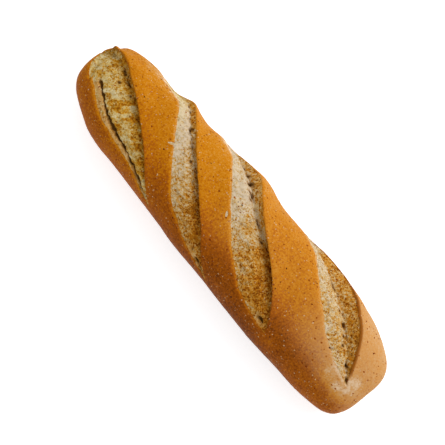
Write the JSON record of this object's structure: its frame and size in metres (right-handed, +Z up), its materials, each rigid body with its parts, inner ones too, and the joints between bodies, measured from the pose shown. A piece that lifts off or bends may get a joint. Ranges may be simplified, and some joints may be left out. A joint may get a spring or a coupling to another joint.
{
  "type": "baguette",
  "caption": "Short crusty baguette: a long rounded loaf with blunt ends, a flat base and slanting slashes that opened over pale crumb under raised ears.",
  "frame": {"origin": "on the ground under the middle of the loaf", "axes": "+X along the loaf towards its broader end, +Y towards the side on which the ears of the slashes stand, +Z up"},
  "size_m": [0.28, 0.0732, 0.0528],
  "materials": {
    "crust": "golden brown baked crust, satin, speckled with bran; pale matt crumb in the slashes"
  },
  "bodies": {
    "root": {"loaf": "crust"}
  },
  "joints": []
}
